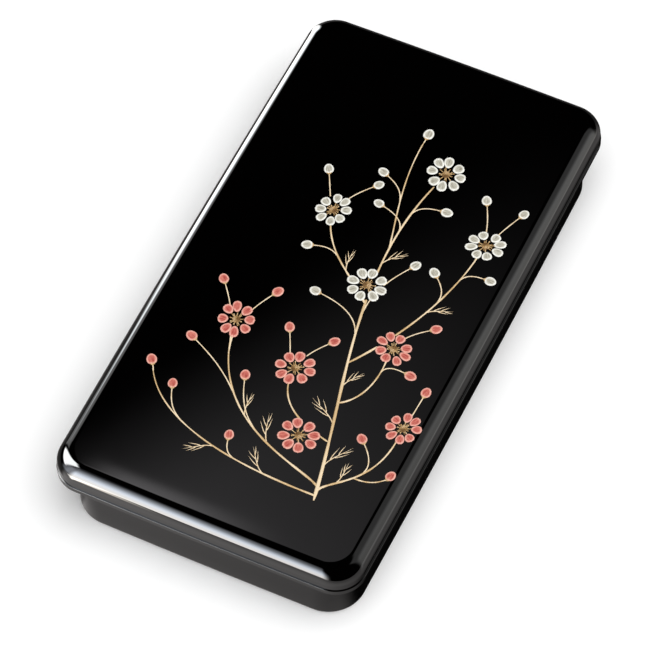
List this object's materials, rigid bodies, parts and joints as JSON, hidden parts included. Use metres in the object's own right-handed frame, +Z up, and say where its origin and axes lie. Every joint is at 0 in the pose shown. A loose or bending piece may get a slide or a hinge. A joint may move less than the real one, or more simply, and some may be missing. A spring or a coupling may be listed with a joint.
{
  "type": "writing box",
  "caption": "Long shallow black lacquered writing box with bowed sides, round corners and a lift-off lid with a broad rounded shoulder, hollow and empty.",
  "frame": {"origin": "middle of the underside, on the surface that the box stands on", "axes": "+Y along the box, towards its far short end; +Z up through the lid; +X across, towards the right long side"},
  "size_m": [0.1216, 0.2256, 0.0355],
  "materials": {
    "black_lacquer": "black lacquer over wood, polished to a mirror",
    "gold_powder": "sprinkled gold powder in lacquer, satin",
    "coral_colour": "coral pigment in lacquer, satin",
    "silver_white_colour": "silvery white pigment in lacquer, satin"
  },
  "bodies": {
    "root": {"box_tray": "black_lacquer", "box_lid": "black_lacquer"}
  },
  "joints": []
}
